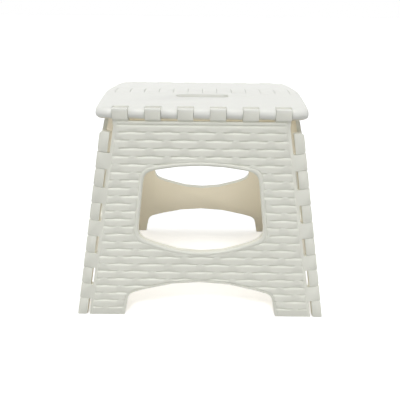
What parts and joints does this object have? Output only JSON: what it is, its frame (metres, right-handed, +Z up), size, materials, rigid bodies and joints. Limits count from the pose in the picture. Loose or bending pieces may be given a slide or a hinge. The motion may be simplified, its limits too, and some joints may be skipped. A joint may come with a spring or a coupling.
{
  "type": "folding step stool",
  "caption": "Cream moulded-plastic folding step stool with a woven-look relief, a crowned seat with a handle slot and hinged legs and side walls that fold flat.",
  "frame": {"origin": "middle of the footprint on the floor", "axes": "+X to the stool's right seen from the front, +Y from the front edge to the rear edge, +Z up"},
  "size_m": [0.3632, 0.2888, 0.3055],
  "materials": {
    "cream_plastic": "satin moulded polypropylene",
    "pin_steel": "drawn wire"
  },
  "bodies": {
    "front_leg": {"front_leg": "cream_plastic", "left_front_corner_pin": "pin_steel", "right_front_corner_pin": "pin_steel", "front_seat_pin": "pin_steel"},
    "left_front_side": {"left_front_side": "cream_plastic", "left_middle_pin": "pin_steel"},
    "left_rear_side": {"left_rear_side": "cream_plastic"},
    "rear_leg": {"rear_leg": "cream_plastic", "left_rear_corner_pin": "pin_steel", "right_rear_corner_pin": "pin_steel", "rear_seat_pin": "pin_steel"},
    "right_front_side": {"right_front_side": "cream_plastic", "right_middle_pin": "pin_steel"},
    "right_rear_side": {"right_rear_side": "cream_plastic"},
    "seat_front": {"seat_front": "cream_plastic", "seat_centre_pin": "pin_steel"},
    "seat_rear": {"seat_rear": "cream_plastic"}
  },
  "joints": [
    {"name": "left_front_corner", "type": "hinge", "parent": "front_leg", "child": "left_front_side", "pos_m": [-0.15201, -0.11952, 0.134], "axis": [-0.1624, -0.1277, -0.9784], "range_deg": [0, 90]},
    {"name": "left_middle", "type": "hinge", "parent": "left_front_side", "child": "left_rear_side", "pos_m": [-0.15648, 0, 0.165], "axis": [0.1741, 0, 0.9847], "range_deg": [0, 178]},
    {"name": "left_rear_corner", "type": "hinge", "parent": "left_rear_side", "child": "rear_leg", "pos_m": [-0.15201, 0.11952, 0.134], "axis": [-0.1624, 0.1277, -0.9784], "range_deg": [0, 90.3]},
    {"name": "right_front_corner", "type": "hinge", "parent": "front_leg", "child": "right_front_side", "pos_m": [0.15201, -0.11952, 0.134], "axis": [-0.1624, 0.1277, 0.9784], "range_deg": [0, 90]},
    {"name": "right_middle", "type": "hinge", "parent": "right_front_side", "child": "right_rear_side", "pos_m": [0.15648, 0, 0.165], "axis": [0.1741, 0, -0.9847], "range_deg": [0, 178]},
    {"name": "front_seat_hinge", "type": "hinge", "parent": "front_leg", "child": "seat_front", "pos_m": [0, -0.1035, 0.2925], "axis": [1, 0, 0], "range_deg": [0, 82.7]},
    {"name": "seat_centre_hinge", "type": "hinge", "parent": "seat_front", "child": "seat_rear", "pos_m": [0, 0, 0.2843], "axis": [-1, 0, 0], "range_deg": [0, 173.1]}
  ],
  "couplings": [
    {"joint": "left_middle", "follows": "left_front_corner", "ratio": 1.9775},
    {"joint": "left_rear_corner", "follows": "left_front_corner", "ratio": 1.0025},
    {"joint": "right_front_corner", "follows": "left_front_corner", "ratio": 1},
    {"joint": "right_middle", "follows": "left_front_corner", "ratio": 1.9775},
    {"joint": "front_seat_hinge", "follows": "left_front_corner", "ratio": 0.9184},
    {"joint": "seat_centre_hinge", "follows": "left_front_corner", "ratio": 1.9229}
  ]
}
